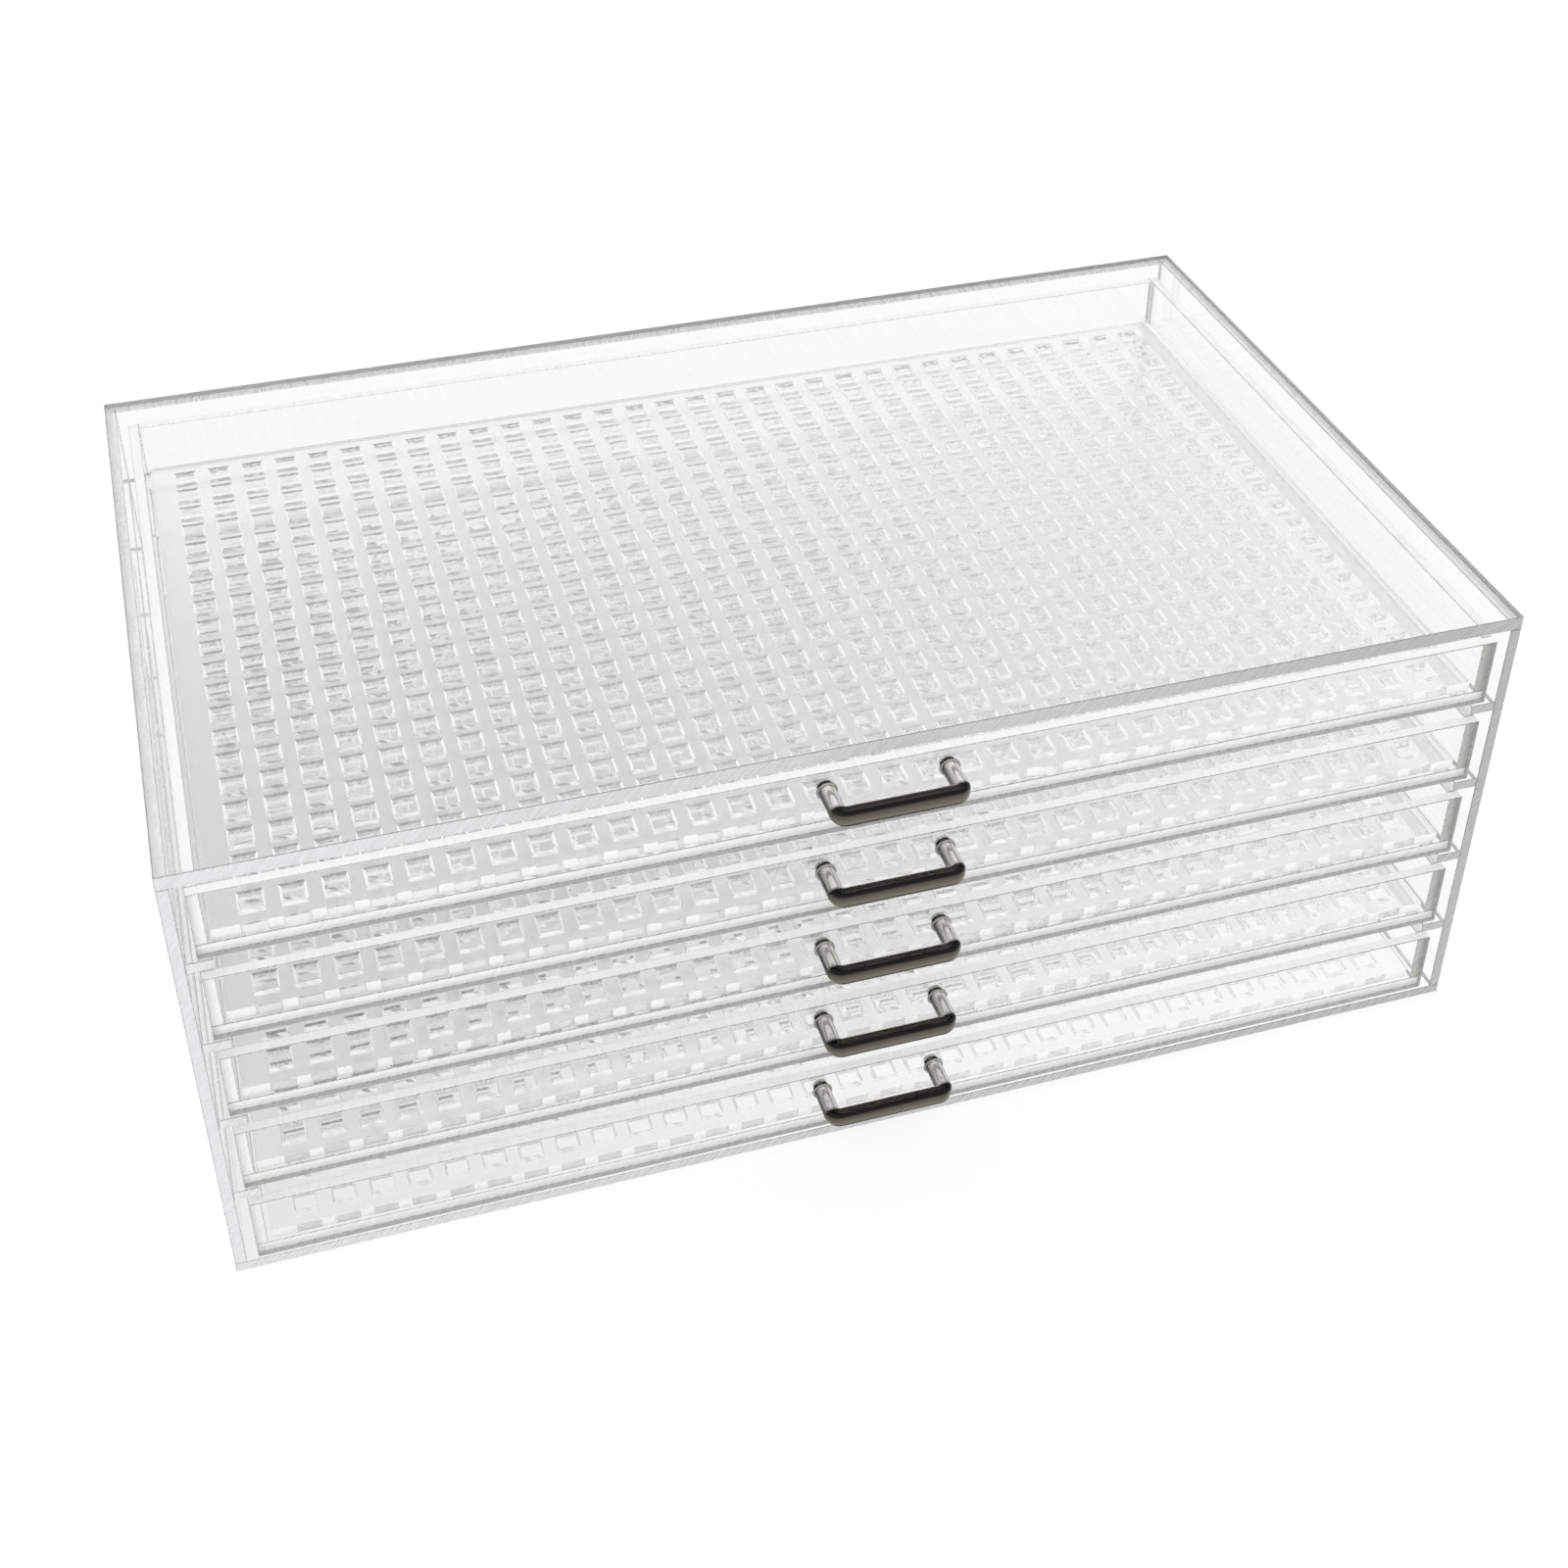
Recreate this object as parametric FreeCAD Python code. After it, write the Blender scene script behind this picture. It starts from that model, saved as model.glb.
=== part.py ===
"""Clear acrylic cabinet with five slide-out drawers for nail polish.

Millimetres, +Z up. The origin is the centre of the cabinet's underside. The drawer
fronts and handles face -Y. Drawers and rails are numbered from the top down.
"""
import FreeCAD
import Part
import os

# ---- cabinet ----
CASE_WIDTH = 700.0          # outside, X
CASE_DEPTH = 440.0          # outside, Y
SIDE_SHEET = 6.0            # left, right and back panels
TOP_SHEET = 8.0
BOTTOM_SHEET = 6.0
CORNER_RADIUS = 2.5         # polished outer upright corners
EDGE_EASE = 0.6             # small chamfer on the sheet edges a hand meets

# ---- drawer bays ----
DRAWER_COUNT = 5
BAY_HEIGHT = 47.0           # clear height from one rail's top to the next rail's underside
RAIL_THICKNESS = 6.0
RAIL_WIDTH = 14.0

# ---- drawer box ----
BOX_SHEET = 6.0             # front, back and sides
FLOOR_SHEET = 6.0
SIDE_GAP = 6.0              # from the box to the cabinet's side, each side
RUNNING_GAP = 0.3           # under the box, above the rail or the cabinet's floor
TOP_GAP = 6.7               # above the box, under the next rail or the cabinet's top
FRONT_SETBACK = 1.0         # drawer front behind the cabinet's front edges
BACK_GAP = 5.0              # from the closed box to the cabinet's back

# ---- grid insert: square openings in a loose sheet on the drawer's floor ----
CELL_PITCH = 20.0
CELL_SIZE = 13.0
CELL_MARGIN = 8.0           # least width of solid sheet round the openings
INSERT_SHEET = 6.0          # total thickness
INSERT_GAP = 2.0            # from the insert's edge to the drawer's walls

# ---- handle, screws and washers ----
HANDLE_CENTRES = 64.0       # screw to screw
HANDLE_DROP = 12.0          # rim of the drawer to the screw line
HANDLE_PROJECTION = 24.0    # drawer front to the outside of the bar
POST_RADIUS = 4.5
BAR_HEIGHT = 9.6            # Z
BAR_DEPTH = 6.4             # Y
BAR_EDGE_RADIUS = 2.0
ELBOW_RADIUS = 8.0          # outside of the turn from bar to post, seen from above
WASHER_THICKNESS = 0.6
WASHER_RADIUS = 5.5
SCREW_RADIUS = 2.0
SCREW_REACH = 10.0          # length inside the post
TIP_SPACE = 1.0             # post bore beyond the screw's tip
SCREW_BORE_CLEARANCE = 0.05
PANEL_BORE_CLEARANCE = 0.25
SCREW_HEAD_RADIUS = 4.0
SCREW_HEAD_HEIGHT = 2.6
SCREW_HEAD_BEVEL = 1.0

# ---- heights and places worked out from the sizes above ----
BAY_PITCH = BAY_HEIGHT + RAIL_THICKNESS
CASE_HEIGHT = BOTTOM_SHEET + DRAWER_COUNT * BAY_PITCH - RAIL_THICKNESS + TOP_SHEET
WALL_HEIGHT = CASE_HEIGHT - TOP_SHEET - BOTTOM_SHEET
CASE_FRONT = -CASE_DEPTH / 2
CASE_BACK = CASE_DEPTH / 2
INNER_HALF_WIDTH = CASE_WIDTH / 2 - SIDE_SHEET
INNER_BACK = CASE_BACK - SIDE_SHEET
BOX_HALF_WIDTH = INNER_HALF_WIDTH - SIDE_GAP
BOX_FRONT = CASE_FRONT + FRONT_SETBACK
BOX_BACK = INNER_BACK - BACK_GAP
BOX_HEIGHT = BAY_HEIGHT - RUNNING_GAP - TOP_GAP
BOX_INNER_HALF_WIDTH = BOX_HALF_WIDTH - BOX_SHEET
BOX_INNER_FRONT = BOX_FRONT + BOX_SHEET
BOX_INNER_BACK = BOX_BACK - BOX_SHEET
SCREW_HEIGHT = BOX_HEIGHT - HANDLE_DROP
POST_CENTRES = (-HANDLE_CENTRES / 2, HANDLE_CENTRES / 2)

INTO_CASE = FreeCAD.Vector(0, 1, 0)
OUT_OF_CASE = FreeCAD.Vector(0, -1, 0)


def block(x_span, y_span, z_span):
    """A box from its lowest and highest X, Y and Z."""
    size = [span[1] - span[0] for span in (x_span, y_span, z_span)]
    return Part.makeBox(*size, FreeCAD.Vector(x_span[0], y_span[0], z_span[0]))


def rod(radius, start, length, direction):
    """A round bar from start along direction."""
    return Part.makeCylinder(radius, length, FreeCAD.Vector(*start), direction)


def edges_along(shape, axis, test):
    """Straight edges of shape that run along axis and whose middle passes the test."""
    found = []
    for edge in shape.Edges:
        if not isinstance(edge.Curve, Part.Line):
            continue
        if abs(abs(edge.Curve.Direction.dot(axis)) - 1) > 1e-6:
            continue
        if test(edge.CenterOfMass):
            found.append(edge)
    return found


def edges_at(shape, test):
    """Edges of shape whose ends all pass the test."""
    return [edge for edge in shape.Edges if all(test(vertex.Point) for vertex in edge.Vertexes)]


def near(value, target):
    return abs(value - target) < 1e-4


def save(name, shape):
    shape.exportStep("parts/" + name + ".step")


# ---------------------------------------------------------------- cabinet

def case_sheet(z_low, z_high):
    """Top or bottom sheet over the whole plan, with rounded corners."""
    half = CASE_WIDTH / 2
    sheet = block((-half, half), (CASE_FRONT, CASE_BACK), (z_low, z_high))
    upright = edges_along(sheet, FreeCAD.Vector(0, 0, 1), lambda point: True)
    return sheet.makeFillet(CORNER_RADIUS, upright)


def case_top():
    """Top sheet, with its upper edges eased all round."""
    sheet = case_sheet(CASE_HEIGHT - TOP_SHEET, CASE_HEIGHT)
    rim = edges_at(sheet, lambda point: near(point.z, CASE_HEIGHT))
    return sheet.makeChamfer(EDGE_EASE, rim)


def case_bottom():
    return case_sheet(0, BOTTOM_SHEET)


def case_side(side):
    """Upright side sheet; side is -1 for left and +1 for right."""
    outer = side * CASE_WIDTH / 2
    inner = side * INNER_HALF_WIDTH
    height = (BOTTOM_SHEET, BOTTOM_SHEET + WALL_HEIGHT)
    sheet = block(sorted((inner, outer)), (CASE_FRONT, CASE_BACK), height)
    corners = edges_along(sheet, FreeCAD.Vector(0, 0, 1), lambda point: near(point.x, outer))
    return sheet.makeFillet(CORNER_RADIUS, corners)


def case_back():
    """Back sheet, held between the sides, the top and the bottom."""
    span = (-INNER_HALF_WIDTH, INNER_HALF_WIDTH)
    return block(span, (INNER_BACK, CASE_BACK), (BOTTOM_SHEET, BOTTOM_SHEET + WALL_HEIGHT))


def rail_top(number):
    """Height of the surface that drawer number slides on."""
    return BOTTOM_SHEET + (DRAWER_COUNT - number) * BAY_PITCH


def rail(number, side):
    """Strip along the cabinet's side, under drawer number's side wall."""
    wall = side * INNER_HALF_WIDTH
    lip = side * (INNER_HALF_WIDTH - RAIL_WIDTH)
    top = rail_top(number)
    strip = block(sorted((lip, wall)), (CASE_FRONT, INNER_BACK), (top - RAIL_THICKNESS, top))
    lip_edges = edges_along(strip, INTO_CASE, lambda point: near(point.x, lip))
    return strip.makeChamfer(EDGE_EASE, lip_edges)


# ---------------------------------------------------------------- drawer box

def drawer_base(number):
    """Height of the underside of drawer number."""
    return rail_top(number) + RUNNING_GAP


def drawer_front(base):
    """Front sheet with eased edges and two holes for the handle's screws."""
    rim = base + BOX_HEIGHT
    sheet = block((-BOX_HALF_WIDTH, BOX_HALF_WIDTH), (BOX_FRONT, BOX_INNER_FRONT), (base, rim))
    sheet = sheet.makeChamfer(EDGE_EASE, edges_at(sheet, lambda point: near(point.y, BOX_FRONT)))
    for x in POST_CENTRES:
        start = (x, BOX_FRONT, base + SCREW_HEIGHT)
        sheet = sheet.cut(rod(SCREW_RADIUS + PANEL_BORE_CLEARANCE, start, BOX_SHEET, INTO_CASE))
    return sheet


def drawer_floor(base):
    span = (-BOX_HALF_WIDTH, BOX_HALF_WIDTH)
    return block(span, (BOX_INNER_FRONT, BOX_BACK), (base, base + FLOOR_SHEET))


def drawer_side(base, side):
    """Side wall standing on the floor, with its rim eased."""
    outer = side * BOX_HALF_WIDTH
    inner = side * BOX_INNER_HALF_WIDTH
    rim = base + BOX_HEIGHT
    wall = block(sorted((inner, outer)), (BOX_INNER_FRONT, BOX_BACK), (base + FLOOR_SHEET, rim))
    return wall.makeChamfer(EDGE_EASE, edges_along(wall, INTO_CASE, lambda point: near(point.z, rim)))


def drawer_back(base):
    """Back wall between the sides, standing on the floor."""
    span = (-BOX_INNER_HALF_WIDTH, BOX_INNER_HALF_WIDTH)
    return block(span, (BOX_INNER_BACK, BOX_BACK), (base + FLOOR_SHEET, base + BOX_HEIGHT))


# ---------------------------------------------------------------- grid insert

def cell_starts(low, high):
    """Low edge of each square opening along one direction of the sheet."""
    web = CELL_PITCH - CELL_SIZE
    count = int((high - low - 2 * CELL_MARGIN + web) / CELL_PITCH)
    first = (low + high - count * CELL_PITCH + web) / 2
    return [first + index * CELL_PITCH for index in range(count)]


def grid_insert(base):
    """Two half-thickness sheets, one slotted along X and one along Y, laid together.

    Where the slots cross they leave the insert's square openings.
    """
    half_width = BOX_INNER_HALF_WIDTH - INSERT_GAP
    width = (-half_width, half_width)
    depth = (BOX_INNER_FRONT + INSERT_GAP, BOX_INNER_BACK - INSERT_GAP)
    columns = cell_starts(*width)
    rows = cell_starts(*depth)
    all_columns = (columns[0], columns[-1] + CELL_SIZE)
    all_rows = (rows[0], rows[-1] + CELL_SIZE)
    bottom = base + FLOOR_SHEET
    lower = (bottom, bottom + INSERT_SHEET / 2)
    upper = (bottom + INSERT_SHEET / 2, bottom + INSERT_SHEET)
    cross_slots = [block(all_columns, (y, y + CELL_SIZE), lower) for y in rows]
    long_slots = [block((x, x + CELL_SIZE), all_rows, upper) for x in columns]
    lower_sheet = block(width, depth, lower).cut(cross_slots)
    upper_sheet = block(width, depth, upper).cut(long_slots)
    return Part.makeCompound([lower_sheet, upper_sheet])


# ---------------------------------------------------------------- handle and fasteners

def bar(bar_outside, height):
    """Flattened bar, rounded along its front and turned back at both ends."""
    half = HANDLE_CENTRES / 2 + POST_RADIUS
    heights = (height - BAR_HEIGHT / 2, height + BAR_HEIGHT / 2)
    flat = block((-half, half), (bar_outside, bar_outside + BAR_DEPTH), heights)
    front_edges = edges_along(flat, FreeCAD.Vector(1, 0, 0), lambda point: near(point.y, bar_outside))
    plan = block((-half, half), (bar_outside, bar_outside + 2 * ELBOW_RADIUS), heights)
    turns = edges_along(plan, FreeCAD.Vector(0, 0, 1), lambda point: near(point.y, bar_outside))
    return flat.makeFillet(BAR_EDGE_RADIUS, front_edges).common(plan.makeFillet(ELBOW_RADIUS, turns))


def handle(base):
    """Bar pull: two round posts and a flattened bar whose ends turn into them."""
    height = base + SCREW_HEIGHT
    foot = BOX_FRONT - WASHER_THICKNESS
    bar_outside = BOX_FRONT - HANDLE_PROJECTION
    post_length = foot - bar_outside - BAR_DEPTH
    starts = [(x, foot, height) for x in POST_CENTRES]
    posts = [rod(POST_RADIUS, start, post_length, OUT_OF_CASE) for start in starts]
    bore_radius = SCREW_RADIUS + SCREW_BORE_CLEARANCE
    bore_length = SCREW_REACH + TIP_SPACE
    bores = [rod(bore_radius, start, bore_length, OUT_OF_CASE) for start in starts]
    return bar(bar_outside, height).fuse(posts).cut(bores).removeSplitter()


def screw(x, base):
    """Pan-head screw from inside the drawer into one post."""
    head_seat = (x, BOX_INNER_FRONT, base + SCREW_HEIGHT)
    shank_length = BOX_SHEET + WASHER_THICKNESS + SCREW_REACH
    head = rod(SCREW_HEAD_RADIUS, head_seat, SCREW_HEAD_HEIGHT, INTO_CASE)
    crown = BOX_INNER_FRONT + SCREW_HEAD_HEIGHT
    head = head.makeChamfer(SCREW_HEAD_BEVEL, edges_at(head, lambda point: near(point.y, crown)))
    return head.fuse(rod(SCREW_RADIUS, head_seat, shank_length, OUT_OF_CASE))


def washer(x, base):
    """Soft ring between one post and the drawer front."""
    start = (x, BOX_FRONT, base + SCREW_HEIGHT)
    ring = rod(WASHER_RADIUS, start, WASHER_THICKNESS, OUT_OF_CASE)
    return ring.cut(rod(SCREW_RADIUS + PANEL_BORE_CLEARANCE, start, WASHER_THICKNESS, OUT_OF_CASE))


def drawer_pieces(number):
    """Every piece of one drawer, by name."""
    base = drawer_base(number)
    return {
        "front": drawer_front(base),
        "back": drawer_back(base),
        "left_side": drawer_side(base, -1),
        "right_side": drawer_side(base, 1),
        "floor": drawer_floor(base),
        "insert": grid_insert(base),
        "handle": handle(base),
        "screws": Part.makeCompound([screw(x, base) for x in POST_CENTRES]),
        "washers": Part.makeCompound([washer(x, base) for x in POST_CENTRES]),
    }


os.makedirs("parts", exist_ok=True)

save("case_top", case_top())
save("case_bottom", case_bottom())
save("case_left_side", case_side(-1))
save("case_right_side", case_side(1))
save("case_back", case_back())

for rail_number in range(1, DRAWER_COUNT):
    save("rail_%d_left" % rail_number, rail(rail_number, -1))
    save("rail_%d_right" % rail_number, rail(rail_number, 1))

for drawer_number in range(1, DRAWER_COUNT + 1):
    for piece_name, piece in drawer_pieces(drawer_number).items():
        save("drawer_%d_%s" % (drawer_number, piece_name), piece)

print("cabinet %.1f x %.1f x %.1f mm" % (CASE_WIDTH, CASE_DEPTH, CASE_HEIGHT))
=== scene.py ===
"""Clear acrylic drawer cabinet for nail polish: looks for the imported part.

Metres, in the part's frame: the drawer fronts face -Y and Z is up.
"""
import math
import random

import bmesh
import bpy
from mathutils import Matrix, Vector


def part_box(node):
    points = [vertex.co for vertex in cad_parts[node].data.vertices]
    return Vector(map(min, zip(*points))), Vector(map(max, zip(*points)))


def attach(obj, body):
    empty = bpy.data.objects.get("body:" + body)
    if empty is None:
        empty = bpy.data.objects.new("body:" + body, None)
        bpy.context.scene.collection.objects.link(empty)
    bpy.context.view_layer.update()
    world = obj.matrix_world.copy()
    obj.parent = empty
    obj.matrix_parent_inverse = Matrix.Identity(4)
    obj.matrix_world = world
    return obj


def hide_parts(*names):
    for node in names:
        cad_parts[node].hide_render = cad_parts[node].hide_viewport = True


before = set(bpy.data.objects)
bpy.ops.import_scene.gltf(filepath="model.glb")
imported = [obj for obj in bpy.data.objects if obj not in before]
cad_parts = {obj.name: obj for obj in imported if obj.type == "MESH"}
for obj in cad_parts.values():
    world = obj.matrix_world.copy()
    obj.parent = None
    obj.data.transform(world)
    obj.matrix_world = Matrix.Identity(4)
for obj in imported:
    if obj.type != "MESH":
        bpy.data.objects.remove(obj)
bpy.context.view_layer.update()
scene = bpy.context.scene
rng = random.Random(7)

MM = 0.001
X, Y, Z = range(3)
LOW, HIGH = -1, 1
DRAWERS = range(1, 6)
RAILS = range(1, 5)

# ------------------------------------------------------------------ shader nodes


def new_material(name, settings):
    """A node material, its tree and its Principled shader with these inputs set."""
    material = bpy.data.materials.new(name)
    material.use_nodes = True
    shader = material.node_tree.nodes["Principled BSDF"]
    for key, value in settings.items():
        shader.inputs[key].default_value = value
    return material, material.node_tree, shader


def add(tree, kind, **values):
    """A shader node with its properties and input values set."""
    node = tree.nodes.new(kind)
    for key, value in values.items():
        if key in node.inputs:
            node.inputs[key].default_value = value
        else:
            setattr(node, key, value)
    return node


def fed(tree, kind, source, **values):
    """A shader node whose first input comes from source."""
    node = add(tree, kind, **values)
    tree.links.new(source, node.inputs[0])
    return node


def rgba(colour):
    """A grey or a colour as red, green, blue and alpha."""
    return (colour, colour, colour, 1) if isinstance(colour, (int, float)) else (*colour, 1)


def ramp(tree, stops, source):
    """A colour ramp fed from source, with (position, grey or colour) stops."""
    node = fed(tree, "ShaderNodeValToRGB", source)
    elements = node.color_ramp.elements
    while len(elements) < len(stops):
        elements.new(0.5)
    for element, (position, colour) in zip(elements, stops):
        element.position = position
        element.color = rgba(colour)
    return node.outputs["Color"]


def mix(tree, factor, first, second, blend="MIX"):
    """first where factor is 0, second where it is 1. Each is a socket or a plain value."""
    node = add(tree, "ShaderNodeMix", data_type="RGBA", blend_type=blend)
    sockets = node.inputs[0], node.inputs[6], node.inputs[7]   # its factor and its colours
    for value, socket in zip((factor, first, second), sockets):
        if isinstance(value, bpy.types.NodeSocket):
            tree.links.new(value, socket)
        else:
            socket.default_value = value
    return node.outputs[2]


def multiply(tree, *colours):
    """Product of colour sockets."""
    result = colours[0]
    for colour in colours[1:]:
        result = mix(tree, 1.0, result, colour, "MULTIPLY")
    return result


def along(tree, vector, axis):
    """One axis of a vector socket."""
    return fed(tree, "ShaderNodeSeparateXYZ", vector).outputs[axis]


def remap(tree, source, low, high):
    """source as 0 from low down, 1 from high up, and even between them."""
    node = fed(tree, "ShaderNodeMapRange", source)
    node.inputs["From Min"].default_value = low
    node.inputs["From Max"].default_value = high
    return node.outputs[0]


def across_object(tree, coords):
    """Place across the cabinet's width, 0 at the left and 1 at the right."""
    return remap(tree, along(tree, coords.outputs["Object"], "X"), -0.35, 0.35)


def facing(tree, coords, axis):
    """How a surface faces: 0 against the axis and 1 along it. On Y, 0 is the front."""
    return remap(tree, along(tree, coords.outputs["Normal"], axis), -1.0, 1.0)


def noise_from(tree, source, **values):
    """Noise at the places in source."""
    return fed(tree, "ShaderNodeTexNoise", source, **values).outputs["Fac"]


# ------------------------------------------------------------------ materials

ACRYLIC_IOR = 1.49
DEPTHS = (-0.25, 0.25)             # depths that read 0 and 1
REAR_EDGES = (0.93, 0.938)         # from here to here an edge turns into a rear one, with painted shade
MARK_SLANT = (0.0, 0.8, 0.0)
MARK_SCALE = (60, 60, 420)         # saw marks are long and narrow
POLISH_SCALE = (120, 900, 900)     # and polishing marks lie along the bar
BAR_TO_POST = (-0.2375, -0.2350)   # from here to here the bar's colour turns into the post's
BAR_PAINTED_REFLECTION = [                      # painted reflection, from the bar's underside to its top
    (0.0, 0.02), (0.17, 0.03), (0.23, (0.20, 0.188, 0.155)), (0.45, (0.145, 0.136, 0.113)),
    (0.72, (0.085, 0.078, 0.063)), (0.82, 0.02), (0.975, 0.012), (0.999, (0.05, 0.045, 0.04))]
# painted highlight along the bar's back edge
BAR_PAINTED_HIGHLIGHT = (0.8, 0.78, 0.74)
POST_PAINTED_REFLECTION = [                   # painted reflection streaks, round the post from its left to its right
    (0.03, 0.06), (0.14, 0.42), (0.30, (0.72, 0.69, 0.64)), (0.52, 0.85),
    (0.66, (0.45, 0.42, 0.38)), (0.78, 0.8), (0.95, 0.25), (1.0, 0.06)]
# painted highlight on the washer's front face
WASHER_PAINTED_HIGHLIGHT = (0.42, 0.41, 0.39)


def acrylic(name, left, right, rough=0.0):
    """Polished face of a clear sheet, with painted shade whose tint goes from left to right over
    the cabinet's width.
    """
    material, tree, shader = new_material(
        name, {"Transmission Weight": 1.0, "IOR": ACRYLIC_IOR, "Roughness": rough})
    coords = add(tree, "ShaderNodeTexCoord")
    # painted shade: the tint changes from left to right across the cabinet's width
    painted_shade_tint = ramp(tree, [(0.1, left), (0.8, right)], across_object(tree, coords))
    noise = noise_from(tree, coords.outputs["Object"], Scale=9.0, Detail=1.0)
    cloud = ramp(tree, [(0.3, 0.998), (0.7, 1.0)], noise)
    tree.links.new(multiply(tree, painted_shade_tint, cloud), shader.inputs["Base Color"])
    return material


def cut_edge(name, left, right, aside=None, clear=0.5, rough=0.35, depth=0.14, back=1.0,
             metal=0.0):
    """Sawn edge of a clear sheet: frosted, with slanted marks.

    Its colour is painted shade that goes from left to right over the cabinet's width, and is
    aside, if that is given, a painted lighter colour on edges that don't face the front. clear
    is how much light goes through, depth is how dark the marks are, and back is the painted
    shade on the cabinet's rear edges.
    """
    material, tree, shader = new_material(
        name, {"Transmission Weight": clear, "Metallic": metal, "IOR": ACRYLIC_IOR})
    coords = add(tree, "ShaderNodeTexCoord")
    place = coords.outputs["Object"]
    # painted shade: the edge's colour changes from left to right across the cabinet's width
    base = ramp(tree, [(0.1, left), (0.9, right)], across_object(tree, coords))
    if aside is not None:
        # painted light: edges that don't face the front take the lighter colour aside
        turned = ramp(tree, [(0.3, 0.0), (0.4, 1.0)], facing(tree, coords, "Y"))
        base = mix(tree, turned, base, rgba(aside))
    # painted shade: the cabinet's rear edges are darkened by back
    rearward = remap(tree, along(tree, place, "Y"), *DEPTHS)
    shade = ramp(tree, list(zip(REAR_EDGES, (1.0, back))), rearward)
    slanted = fed(tree, "ShaderNodeMapping", place, Rotation=MARK_SLANT)
    stretched = fed(tree, "ShaderNodeMapping", slanted.outputs["Vector"], Scale=MARK_SCALE)
    noise = noise_from(tree, stretched.outputs["Vector"], Scale=1.0, Detail=3.0, Distortion=0.8)
    marks = ramp(tree, [(0.32, 1 - depth), (0.68, 1.0)], noise)
    tree.links.new(multiply(tree, base, marks, shade), shader.inputs["Base Color"])
    dull = ramp(tree, [(0.3, rough * 0.6), (0.7, rough)], noise)
    tree.links.new(dull, shader.inputs["Roughness"])
    return material


def dark_nickel():
    """Polished nickel, its colour all painted reflection: near black on top, taupe at the front, a
    bright back edge and bright streaks round the posts.
    """
    material, tree, shader = new_material("dark_nickel", {"Metallic": 1.0})
    coords = add(tree, "ShaderNodeTexCoord")
    place = coords.outputs["Object"]
    # painted reflection bands from the bar's underside to its top
    front = ramp(tree, BAR_PAINTED_REFLECTION, along(tree, coords.outputs["Generated"], "Z"))
    # painted highlight where the bar faces back
    behind = ramp(tree, [(0.12, 0.0), (0.35, 1.0)], along(tree, coords.outputs["Normal"], "Y"))
    bar = mix(tree, behind, front, rgba(BAR_PAINTED_HIGHLIGHT))
    # painted reflection streaks round the posts
    post = ramp(tree, POST_PAINTED_REFLECTION, facing(tree, coords, "X"))
    on_post = remap(tree, along(tree, place, "Y"), *BAR_TO_POST)
    tree.links.new(mix(tree, on_post, bar, post), shader.inputs["Base Color"])
    stretched = fed(tree, "ShaderNodeMapping", place, Scale=POLISH_SCALE)
    noise = noise_from(tree, stretched.outputs["Vector"], Scale=1.0, Detail=3.0)
    tree.links.new(ramp(tree, [(0.3, 0.07), (0.7, 0.13)], noise), shader.inputs["Roughness"])
    return material


def screw_steel():
    """Plain turned steel."""
    material, tree, shader = new_material("screw_steel", {"Metallic": 1.0})
    coords = add(tree, "ShaderNodeTexCoord")
    noise = noise_from(tree, coords.outputs["Object"], Scale=700.0, Detail=2.0)
    tree.links.new(ramp(tree, [(0.3, 0.42), (0.7, 0.56)], noise), shader.inputs["Base Color"])
    tree.links.new(ramp(tree, [(0.3, 0.2), (0.7, 0.34)], noise), shader.inputs["Roughness"])
    return material


def washer_nylon():
    """Black ring on which the post stands, with a painted highlight that makes its front face
    bright.
    """
    material, tree, shader = new_material("washer_nylon", {})
    coords = add(tree, "ShaderNodeTexCoord")
    noise = noise_from(tree, coords.outputs["Object"], Scale=900.0, Detail=2.0)
    black = ramp(tree, [(0.3, 0.012), (0.7, 0.03)], noise)
    # painted highlight: the face toward the front is grey, the rest black
    turned = ramp(tree, [(0.1, 0.0), (0.2, 1.0)], facing(tree, coords, "Y"))
    colour = mix(tree, turned, rgba(WASHER_PAINTED_HIGHLIGHT), black)
    tree.links.new(colour, shader.inputs["Base Color"])
    tree.links.new(ramp(tree, [(0.3, 0.45), (0.7, 0.6)], noise), shader.inputs["Roughness"])
    return material


# Painted shade on the sheets: their colour changes across the cabinet's width, the front edges of
# the case and the drawers darken to the right, and the case's rear edges are darker.
FACE = acrylic("acrylic_face", 0.999, 1.0)
CASE_EDGE = cut_edge("acrylic_case_edge", (0.93, 0.925, 0.945), 0.56, aside=(0.97, 0.97, 0.98),
                     clear=0.2, depth=0.1, back=0.95)
BOX_EDGE = cut_edge("acrylic_box_edge", (0.96, 0.955, 0.93), 0.88, aside=(0.97, 0.97, 0.965),
                    clear=0.0, depth=0.04)
# painted shade: the edges of the drawers' right sides are grey, darker to the right
END_EDGE = cut_edge("acrylic_end_edge", 0.6, (0.46, 0.47, 0.44), aside=0.97, clear=0.0)
# painted shade: the eased corners are darker grey outlines, darker to the right
ARRIS = cut_edge("acrylic_arris", 0.7, 0.5)

# ------------------------------------------------------------------ sheets

GLUE_GAP = 0.04 * MM   # air left between sheets that are glued, so light sees both faces
EASE = 0.35 * MM       # polished-off corner of a sheet
SQUARE_ON = 0.9        # a normal with more than this along an axis isn't an arris's
ON_FACE, ON_EDGE, ON_ARRIS = range(3)   # places of a sheet's materials


def link_mesh(name, bm, materials):
    """A piece in the scene, made from a bmesh."""
    mesh = bpy.data.meshes.new(name)
    bm.normal_update()
    bm.to_mesh(mesh)
    bm.free()
    for material in materials:
        mesh.materials.append(material)
    piece = bpy.data.objects.new(name, mesh)
    scene.collection.objects.link(piece)
    return piece


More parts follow.
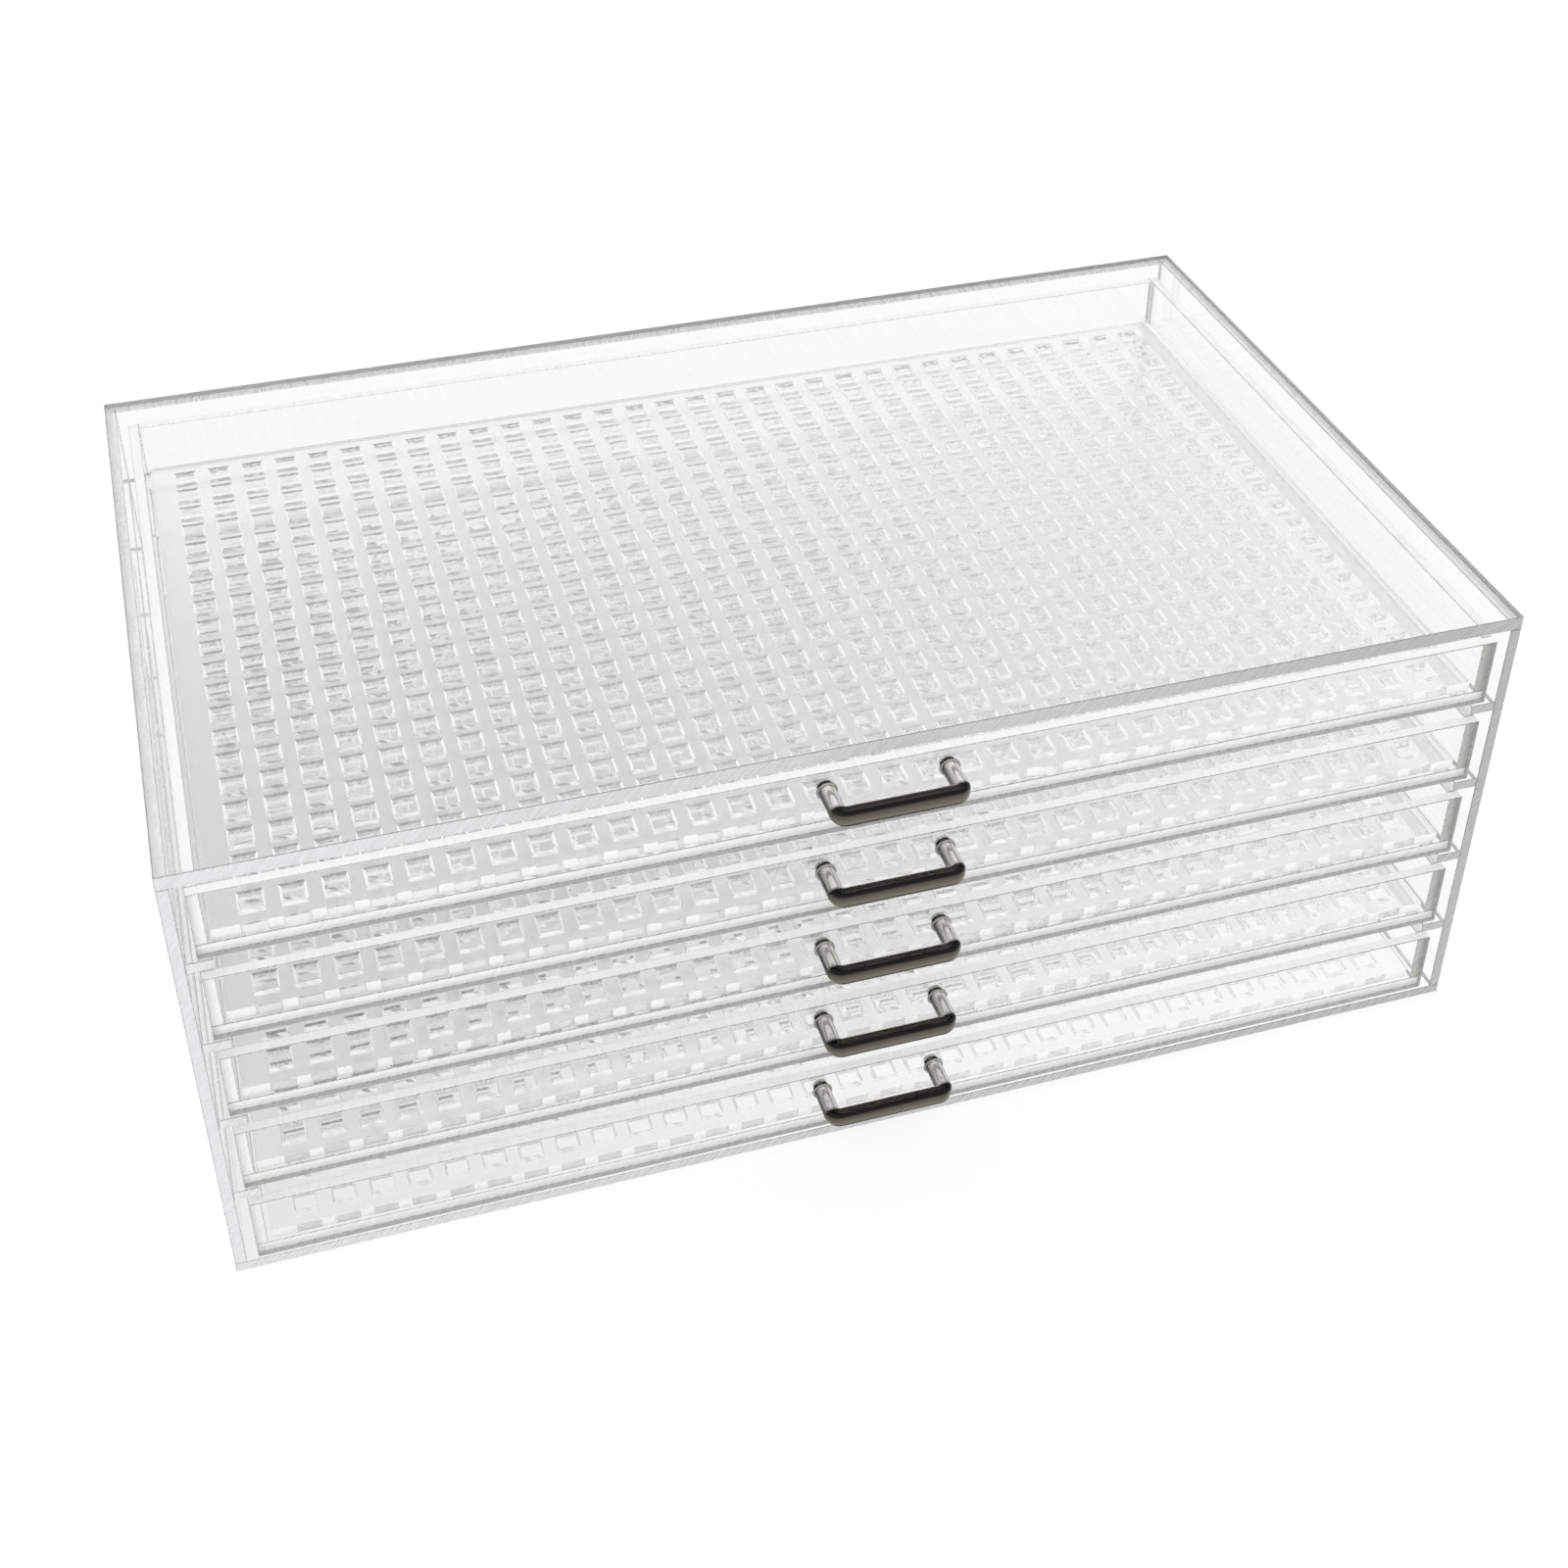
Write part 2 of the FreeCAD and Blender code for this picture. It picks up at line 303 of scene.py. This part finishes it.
def sheet_mesh(low, high, thin, gaps):
    """A sheet with eased corners. thin is its thickness axis; gaps shrink it face by face."""
    low, high = Vector(low), Vector(high)
    for axis, side in gaps:
        if side == LOW:
            low[axis] += GLUE_GAP
        else:
            high[axis] -= GLUE_GAP
    bm = bmesh.new()
    bmesh.ops.create_cube(bm, size=1.0)
    for vert in bm.verts:
        vert.co = Vector((low[i] if vert.co[i] < 0 else high[i]) for i in range(3))
    bmesh.ops.bevel(bm, geom=list(bm.edges), offset=EASE, segments=1, affect="EDGES", profile=0.5)
    bm.normal_update()
    for face in bm.faces:
        if abs(face.normal[thin]) > SQUARE_ON:
            face.material_index = ON_FACE
        elif max(abs(n) for n in face.normal) > SQUARE_ON:
            face.material_index = ON_EDGE
        else:
            face.material_index = ON_ARRIS
    return bm


def sheet(node, body, thin, gaps=(), cut=None):
    """Replaces a CAD sheet by one with polished faces and cut edges."""
    low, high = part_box(node)
    materials = [FACE, cut or (CASE_EDGE if body == "case" else BOX_EDGE), ARRIS]
    piece = link_mesh(node + "_sheet", sheet_mesh(low, high, thin, gaps), materials)
    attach(piece, body)
    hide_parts(node)


sheet("case_top", "case", Z, [(Z, LOW)])
sheet("case_bottom", "case", Z, [(Z, HIGH)])
sheet("case_left_side", "case", X)
sheet("case_right_side", "case", X)
sheet("case_back", "case", Y, [(X, LOW), (X, HIGH), (Z, LOW), (Z, HIGH)])
for number in RAILS:
    sheet("rail_%d_left" % number, "case", Z, [(X, LOW), (Y, HIGH)])
    sheet("rail_%d_right" % number, "case", Z, [(X, HIGH), (Y, HIGH)])

for number in DRAWERS:
    body = "drawer_%d" % number
    sheet(body + "_front", body, Y, [(Y, HIGH)])
    sheet(body + "_floor", body, Z, [(Z, HIGH)])
    sheet(body + "_left_side", body, X, [(X, HIGH)])
    sheet(body + "_right_side", body, X, [(X, LOW)], cut=END_EDGE)
    sheet(body + "_back", body, Y)

# ------------------------------------------------------------------ grid inserts

CELL_PITCH = 20 * MM
CELL_SIZE = 13 * MM
CELL_COLUMNS = 32
CELL_ROWS = 20
RIM_WIDTH = 1.1 * MM   # melted upper edge of a laser-cut opening, at its sides
RIM_FAR = 1.5 * MM     # at its back
RIM_NEAR = 0.4 * MM    # and at its front
RIM_DROP = 0.5 * MM
RIM_WAVE = 0.45 * MM
RIM_STEPS = 4

GRID_LOOKS = [
    # painted shade: the grid's faces are greyer towards the cabinet's left
    acrylic("acrylic_grid_face", 0.97, 1.0, rough=0.2),
    # painted highlight: the rims at the openings' sides are white, and metallic for glints
    cut_edge("acrylic_rim_painted_highlight", 1.0, 1.0, clear=0.0, rough=0.45, depth=0.02, metal=0.8),
    # painted shade: the rims at the openings' back and front are dark, darkest towards the left
    cut_edge("acrylic_rim_painted_shade", 0.36, 0.88, clear=0.15, depth=0.3),
    cut_edge("acrylic_laser_deep", 1.0, 1.0, clear=1.0, rough=0.05, depth=0.02),
    # painted shade: the end walls are slightly greyer towards the left
    cut_edge("acrylic_laser_wide", 0.99, 1.0, clear=1.0, rough=0.05, depth=0.1),
    # painted light: the webs' front ends are bright white, for the light carried along each web
    cut_edge("acrylic_web_end", 1.0, 1.0, clear=0.1, depth=0.02)]
FLAT, SIDE_RIM, END_RIM, SIDE_WALL, END_WALL, WEB_END = range(6)   # places in GRID_LOOKS


def lattice_lines(low, high, count):
    """Places of the lattice's lines: the sheet's edges and both sides of each opening."""
    first = (low + high - (count - 1) * CELL_PITCH - CELL_SIZE) / 2
    lines = [low]
    for index in range(count):
        lines += [first + index * CELL_PITCH, first + index * CELL_PITCH + CELL_SIZE]
    return lines + [high]


def insert_mesh(low, high):
    """One sheet with square laser-cut openings, whose upper rims are melted and wavy."""
    xs = lattice_lines(low.x, high.x, CELL_COLUMNS)
    ys = lattice_lines(low.y, high.y, CELL_ROWS)
    last_x, last_y = len(xs) - 1, len(ys) - 1
    bottom, top = low.z + GLUE_GAP, high.z
    bm = bmesh.new()
    corner = {(i, j, z): bm.verts.new((x, y, z))
              for i, x in enumerate(xs) for j, y in enumerate(ys) for z in (bottom, top)}
    made = {}

    def opening(i, j):
        return i % 2 == 1 and j % 2 == 1 and 0 < i < last_x and 0 < j < last_y

    def line(a, b, z):
        """The points from a to b: more of them where the line borders an opening."""
        if (b, a, z) in made:
            return made[b, a, z][::-1]
        if (a, b, z) not in made:
            i, j = min(a[0], b[0]), min(a[1], b[1])
            beside = (i - 1, j) if a[0] == b[0] else (i, j - 1)
            steps = RIM_STEPS if opening(i, j) or opening(*beside) else 1
            start, end = corner[(*a, z)], corner[(*b, z)]
            between = [bm.verts.new(start.co.lerp(end.co, n / steps)) for n in range(1, steps)]
            made[a, b, z] = [start, *between, end]
        return made[a, b, z]

    def face(verts, material):
        bm.faces.new(verts).material_index = material

    def strip(first, second, material):
        for n in range(len(first) - 1):
            face([first[n], first[n + 1], second[n + 1], second[n]], material)

    for i in range(last_x):
        for j in range(last_y):
            ring = [(i, j), (i + 1, j), (i + 1, j + 1), (i, j + 1)]
            pairs = list(zip(ring, ring[1:] + ring[:1]))
            if not opening(i, j):
                face([v for a, b in pairs for v in line(a, b, top)[:-1]], FLAT)
                face([v for a, b in pairs for v in line(a, b, bottom)[:-1]][::-1], FLAT)
                continue
            inner = {}
            inward_steps = ((RIM_WIDTH, RIM_NEAR), (-RIM_WIDTH, RIM_NEAR),
                            (-RIM_WIDTH, -RIM_FAR), (RIM_WIDTH, -RIM_FAR))
            for a, (step_x, step_y) in zip(ring, inward_steps):
                melted = Vector((step_x, step_y, -RIM_DROP))
                inner[a] = bm.verts.new(corner[(*a, top)].co + melted)
            for a, b in pairs:
                at_side = a[0] == b[0]
                inward = Vector((a[1] - b[1], b[0] - a[0], 0))
                middle = [bm.verts.new(inner[a].co.lerp(inner[b].co, n / RIM_STEPS)
                                       + inward * rng.uniform(-RIM_WAVE, RIM_WAVE))
                          for n in range(1, RIM_STEPS)]
                rim = [inner[a], *middle, inner[b]]
                strip(line(a, b, top), rim, SIDE_RIM if at_side else END_RIM)
                strip(rim, line(a, b, bottom), SIDE_WALL if at_side else END_WALL)
    outside = [(i, 0) for i in range(last_x)] + [(last_x, j) for j in range(last_y)]
    outside += [(i, last_y) for i in range(last_x, 0, -1)] + [(0, j) for j in range(last_y, 0, -1)]
    for a, b in zip(outside, outside[1:] + outside[:1]):
        before_web = a[1] == b[1] == 0 and a[0] % 2 == 0
        strip(line(a, b, bottom), line(a, b, top), WEB_END if before_web else SIDE_WALL)
    return bm


for number in DRAWERS:
    body = "drawer_%d" % number
    low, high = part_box(body + "_insert")
    piece = link_mesh(body + "_grid", insert_mesh(low, high), GRID_LOOKS)
    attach(piece, body)
    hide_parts(body + "_insert")

# ------------------------------------------------------------------ handles

POST_RADIUS = 4.5 * MM
BAR_DEPTH = 6.4 * MM
ELBOW = 8 * MM           # outside of the turn from bar to post
INNER_ELBOW = 1.5 * MM
ELBOW_STEPS = 8
SECTION_POINTS = 32
ROUND, SQUARISH = 2, 5   # exponents of the post's and the bar's section


def pull_mesh(low, high):
    """A bar pull swept as one bent bar: round posts that flatten through the elbows."""
    half, height = (high.x - low.x) / 2, (low.z + high.z) / 2
    outer_centre = Vector((half - ELBOW, low.y + ELBOW, 0))
    inner_x, inner_y = half - 2 * POST_RADIUS, low.y + BAR_DEPTH
    inner_centre = Vector((inner_x - INNER_ELBOW, inner_y + INNER_ELBOW, 0))
    # Each station is the section's outer point, its inner point and how flat it is.
    stations = [(Vector((half, high.y, 0)), Vector((inner_x, high.y, 0)), 0.0)]
    for step in range(ELBOW_STEPS + 1):
        turn = math.pi / 2 * step / ELBOW_STEPS
        direction = Vector((math.cos(turn), -math.sin(turn), 0))
        stations.append((outer_centre + direction * ELBOW,
                         inner_centre + direction * INNER_ELBOW, step / ELBOW_STEPS))
    mirrored = [(Vector((-outer.x, outer.y, 0)), Vector((-inner.x, inner.y, 0)), flat)
                for outer, inner, flat in reversed(stations)]
    bm = bmesh.new()
    rings = []
    for outer, inner, flat in stations + mirrored:
        middle, reach = (outer + inner) / 2, (outer - inner) / 2
        power = 2 / (ROUND + (SQUARISH - ROUND) * flat)
        rise = POST_RADIUS + (high.z - height - POST_RADIUS) * flat
        ring = []
        for n in range(SECTION_POINTS):
            angle = 2 * math.pi * n / SECTION_POINTS
            across, up = math.cos(angle), math.sin(angle)
            across = math.copysign(abs(across) ** power, across)
            up = math.copysign(abs(up) ** power, up)
            place = middle + reach * across
            ring.append(bm.verts.new((place.x, place.y, height + rise * up)))
        rings.append(ring)
    for first, second in zip(rings, rings[1:]):
        for n in range(SECTION_POINTS):
            after = (n + 1) % SECTION_POINTS
            bm.faces.new([first[n], first[after], second[after], second[n]])
    bm.faces.new(rings[0][::-1])
    bm.faces.new(rings[-1])
    bmesh.ops.recalc_face_normals(bm, faces=list(bm.faces))
    for face in bm.faces:
        face.smooth = len(face.verts) == 4
        if not face.smooth:
            for edge in face.edges:
                edge.smooth = False
    return bm


NICKEL = dark_nickel()
STEEL = screw_steel()
NYLON = washer_nylon()
for number in DRAWERS:
    body = "drawer_%d" % number
    pull = link_mesh(body + "_pull", pull_mesh(*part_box(body + "_handle")), [NICKEL])
    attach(pull, body)
    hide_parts(body + "_handle")

for number in DRAWERS:
    for part, material in (("screws", STEEL), ("washers", NYLON)):
        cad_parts["drawer_%d_%s" % (number, part)].data.materials[0] = material

# ------------------------------------------------------------------ stage

FLOOR_SIZE = 30
FLOOR_DROP = 0.5 * MM
FLOOR_GREY = 0.35                # this part of its light shows the shadow
FLOOR_GLOW = 0.68                # and this part, for the camera alone, makes it white
PAINTED_SHADOW_PLACE = (-0.35, 0.0, 0.0)   # where the painted shadow on the floor under the object is greyest
GREY_CARD = (0.10, 0.86, 0.46)   # the direction of the studio's pale grey card
WHITE = (1, 1, 1, 1)


def stage_floor():
    """A pale floor that shows white and keeps the shadow.

    Through the sheets and in reflections it is evenly lit, with a painted shadow that makes it
    slightly grey under the object's left half.
    """
    bm = bmesh.new()
    bmesh.ops.create_grid(bm, x_segments=1, y_segments=1, size=FLOOR_SIZE)
    material, tree, shader = new_material("floor", {})
    material.cycles.emission_sampling = "NONE"   # its glow is even: sampling only costs time
    output = next(n for n in tree.nodes if n.type == "OUTPUT_MATERIAL")
    tree.nodes.remove(shader)
    path = add(tree, "ShaderNodeLightPath")
    coords = add(tree, "ShaderNodeTexCoord")

    grey = add(tree, "ShaderNodeBsdfDiffuse", Color=rgba(FLOOR_GREY))
    level = fed(tree, "ShaderNodeMath", path.outputs["Is Camera Ray"], operation="MULTIPLY")
    level.inputs[1].default_value = FLOOR_GLOW
    glow = add(tree, "ShaderNodeEmission")
    tree.links.new(level.outputs[0], glow.inputs["Strength"])
    to_camera = fed(tree, "ShaderNodeAddShader", grey.outputs[0])
    tree.links.new(glow.outputs[0], to_camera.inputs[1])

    away = fed(tree, "ShaderNodeVectorMath", coords.outputs["Object"], operation="DISTANCE")
    away.inputs[1].default_value = PAINTED_SHADOW_PLACE
    # painted shadow: greyer under the object's left half
    under = ramp(tree, [(0.15, 0.84), (0.4, 0.97), (0.7, 1.0)], away.outputs["Value"])
    seen = mix(tree, path.outputs["Is Diffuse Ray"], under, WHITE)
    to_object = fed(tree, "ShaderNodeEmission", seen, Strength=1.0)

    other_ray = add(tree, "ShaderNodeMath", operation="SUBTRACT")
    other_ray.inputs[0].default_value = 1.0
    tree.links.new(path.outputs["Is Camera Ray"], other_ray.inputs[1])
    both = fed(tree, "ShaderNodeMixShader", other_ray.outputs[0])
    tree.links.new(to_camera.outputs[0], both.inputs[1])
    tree.links.new(to_object.outputs[0], both.inputs[2])
    tree.links.new(both.outputs[0], output.inputs["Surface"])
    floor = link_mesh("floor", bm, [material])
    floor.location.z = -FLOOR_DROP


def stage_world():
    """White studio with a pale grey card high behind the object, for edges and reflections."""
    world = bpy.data.worlds.new("studio")
    scene.world = world
    world.cycles.sampling_method = "NONE"   # it is nearly even too
    world.use_nodes = True
    tree = world.node_tree
    coords = add(tree, "ShaderNodeTexCoord")
    toward = fed(tree, "ShaderNodeVectorMath", coords.outputs["Generated"],
                 operation="DOT_PRODUCT")
    toward.inputs[1].default_value = Vector(GREY_CARD).normalized()
    card = ramp(tree, [(0.86, 1.0), (0.97, 0.92)], toward.outputs["Value"])
    path = add(tree, "ShaderNodeLightPath")
    colour = mix(tree, path.outputs["Is Camera Ray"], card, WHITE)
    tree.links.new(colour, tree.nodes["Background"].inputs["Color"])


def area_light(name, place, target, size, power):
    """A square lamp that points at target."""
    light = bpy.data.lights.new(name, "AREA")
    light.shape = "RECTANGLE"
    light.size = light.size_y = size
    light.energy = power
    lamp = bpy.data.objects.new(name, light)
    lamp.location = place
    lamp.rotation_euler = (Vector(target) - Vector(place)).to_track_quat("-Z", "Y").to_euler()
    scene.collection.objects.link(lamp)


stage_floor()
stage_world()
area_light("key", (-1.2, -1.4, 2.2), (0, 0, 0.1), 1.4, 3)
area_light("fill", (1.6, 0.4, 2.0), (0, 0, 0.1), 1.2, 1.5)

# ------------------------------------------------------------------ camera

WIDTH = 1600
FOCAL_PX = 2272.0
CENTRE_ROW = 600.0   # the photograph was cut from above its own centre
CAMERA_PLACE = (-0.2945, -1.0138, 0.9503)
CAMERA_RIGHT = Vector((0.9573, -0.2891, 0.0007))
CAMERA_FORWARD = Vector((0.2376, 0.7853, -0.5717))
SENSOR = 36.0        # millimetres
FAR_CLIP = 100


def stage_camera():
    """The photograph's camera."""
    camera = bpy.data.cameras.new("camera")
    camera.sensor_width = SENSOR
    camera.lens = FOCAL_PX / WIDTH * SENSOR
    camera.shift_y = (CENTRE_ROW - WIDTH / 2) / WIDTH
    camera.clip_end = FAR_CLIP
    holder = bpy.data.objects.new("camera", camera)
    back = -CAMERA_FORWARD.normalized()
    up = back.cross(CAMERA_RIGHT).normalized()
    right = up.cross(back)
    turn = Matrix((right, up, back)).transposed().to_4x4()
    holder.matrix_world = Matrix.Translation(CAMERA_PLACE) @ turn
    scene.collection.objects.link(holder)
    scene.camera = holder


stage_camera()
scene.view_settings.view_transform = "Standard"
scene.cycles.blur_glossy = 0.0           # Filter Glossy loses light between the sheets
scene.cycles.max_bounces = 48            # five drawers of clear sheet, one behind another
scene.cycles.transmission_bounces = 48
scene.cycles.glossy_bounces = 32
